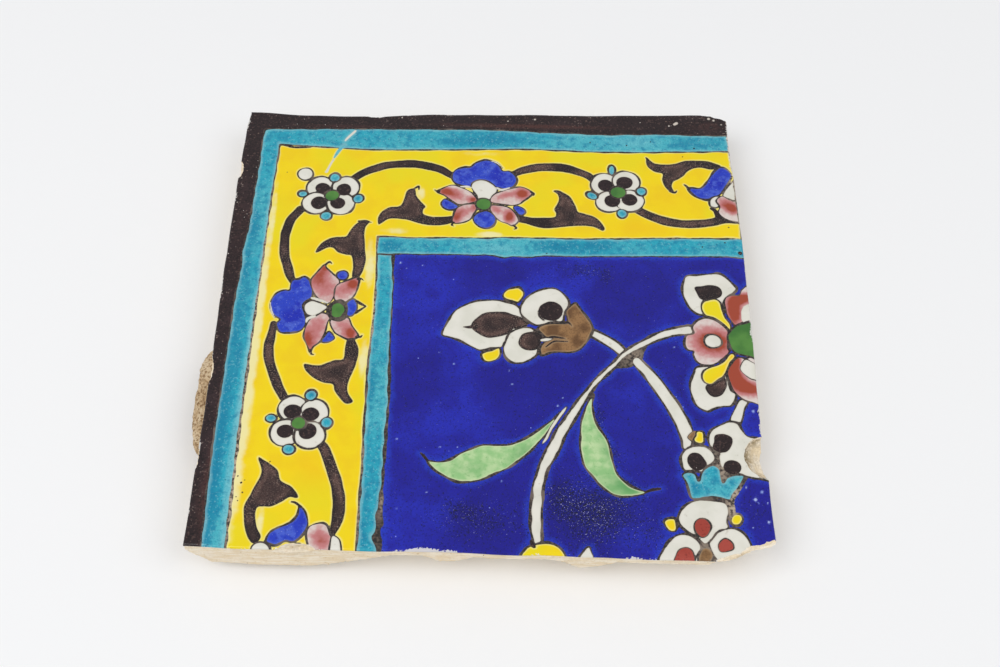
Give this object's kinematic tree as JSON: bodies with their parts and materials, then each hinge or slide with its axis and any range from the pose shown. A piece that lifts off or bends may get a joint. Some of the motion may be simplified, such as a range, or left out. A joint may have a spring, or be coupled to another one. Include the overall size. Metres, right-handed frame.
{
  "type": "glazed ceramic wall tile",
  "caption": "Square clay wall tile with a glazed border-corner pattern of flowers and scrolling vines, undercut sides, chipped edges and old mortar on one side.",
  "frame": {"origin": "centre of the flat back of the tile, which lies on the ground", "axes": "+Z out of the glazed face, +X along the face to the right, +Y up the face, towards the black border stripe at the top"},
  "size_m": [0.2059, 0.2036, 0.018],
  "materials": {
    "glazed_clay": "painted tin and lead glaze in cobalt, turquoise, yellow, white and black on the face, bare buff clay on the sides and back"
  },
  "bodies": {
    "root": {"tile": "glazed_clay"}
  },
  "joints": []
}
